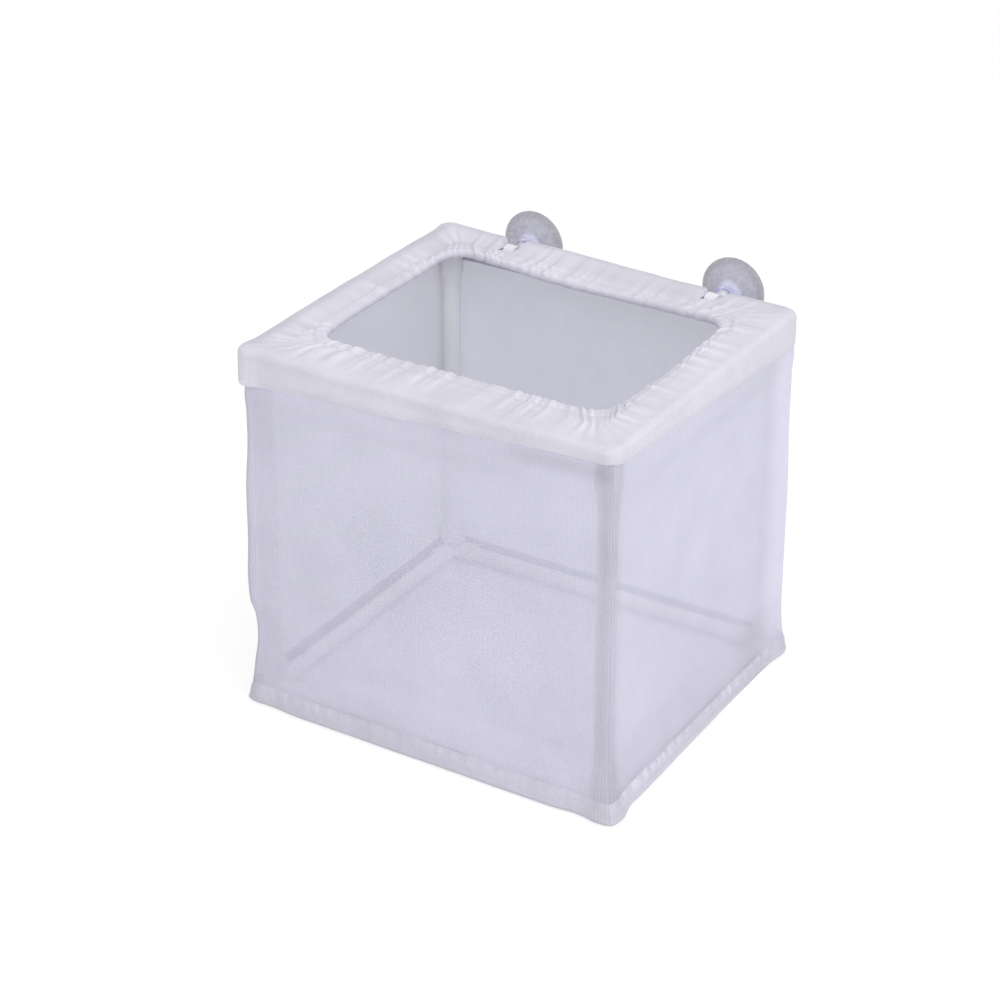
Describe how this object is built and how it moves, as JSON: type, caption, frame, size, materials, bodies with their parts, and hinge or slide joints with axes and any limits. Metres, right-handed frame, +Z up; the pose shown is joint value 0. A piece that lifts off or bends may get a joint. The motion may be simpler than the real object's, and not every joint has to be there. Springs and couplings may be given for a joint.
{
  "type": "fish breeding net",
  "caption": "Box-shaped mesh bag on a plug-together rod frame, with an elastic mouth and clip-on suction cups, for keeping fry apart inside an aquarium.",
  "frame": {"origin": "middle of the net's flat underside", "axes": "+X to the right along the front, +Y towards the aquarium glass, +Z up"},
  "size_m": [0.168, 0.1614, 0.1678],
  "materials": {
    "net_mesh": "fine woven nylon mesh",
    "collar_mesh": "gathered double mesh",
    "hem_binding": "stitched binding",
    "elastic": "braided elastic",
    "rod_plastic": "extruded polypropylene",
    "connector_plastic": "moulded polypropylene",
    "clip_plastic": "moulded polypropylene",
    "cup_vinyl": "clear soft vinyl"
  },
  "bodies": {
    "frame": {"collar_back": "collar_mesh", "collar_front": "collar_mesh", "collar_left": "collar_mesh", "collar_right": "collar_mesh", "connector_bottom_back_left": "connector_plastic", "connector_bottom_back_right": "connector_plastic", "connector_bottom_front_left": "connector_plastic", "connector_bottom_front_right": "connector_plastic", "connector_top_back_left": "connector_plastic", "connector_top_back_right": "connector_plastic", "connector_top_front_left": "connector_plastic", "connector_top_front_right": "connector_plastic", "hem_back": "hem_binding", "hem_front": "hem_binding", "hem_left": "hem_binding", "hem_right": "hem_binding", "mouth_elastic": "elastic", "net_floor": "net_mesh", "net_wall_back": "net_mesh", "net_wall_front": "net_mesh", "net_wall_left": "net_mesh", "net_wall_right": "net_mesh", "post_back_left": "rod_plastic", "post_back_right": "rod_plastic", "post_front_left": "rod_plastic", "post_front_right": "rod_plastic", "rod_bottom_back": "rod_plastic", "rod_bottom_front": "rod_plastic", "rod_bottom_left": "rod_plastic", "rod_bottom_right": "rod_plastic", "rod_top_back": "rod_plastic", "rod_top_front": "rod_plastic", "rod_top_left": "rod_plastic", "rod_top_right": "rod_plastic"},
    "clip_left": {"clip_left": "clip_plastic"},
    "clip_right": {"clip_right": "clip_plastic"},
    "cup_left": {"suction_cup_left": "cup_vinyl"},
    "cup_right": {"suction_cup_right": "cup_vinyl"}
  },
  "joints": [
    {"name": "clip_left_swivel", "type": "hinge", "parent": "frame", "child": "clip_left", "pos_m": [-0.0475, 0.06865, 0.15375], "axis": [1, 0, 0], "range_deg": [-25, 90]},
    {"name": "cup_left_spin", "type": "hinge", "parent": "clip_left", "child": "cup_left", "pos_m": [-0.0475, 0.06865, 0.15375], "axis": [0, 1, 0], "continuous": true},
    {"name": "clip_right_swivel", "type": "hinge", "parent": "frame", "child": "clip_right", "pos_m": [0.0475, 0.06865, 0.15375], "axis": [1, 0, 0], "range_deg": [-25, 90]},
    {"name": "cup_right_spin", "type": "hinge", "parent": "clip_right", "child": "cup_right", "pos_m": [0.0475, 0.06865, 0.15375], "axis": [0, 1, 0], "continuous": true}
  ]
}
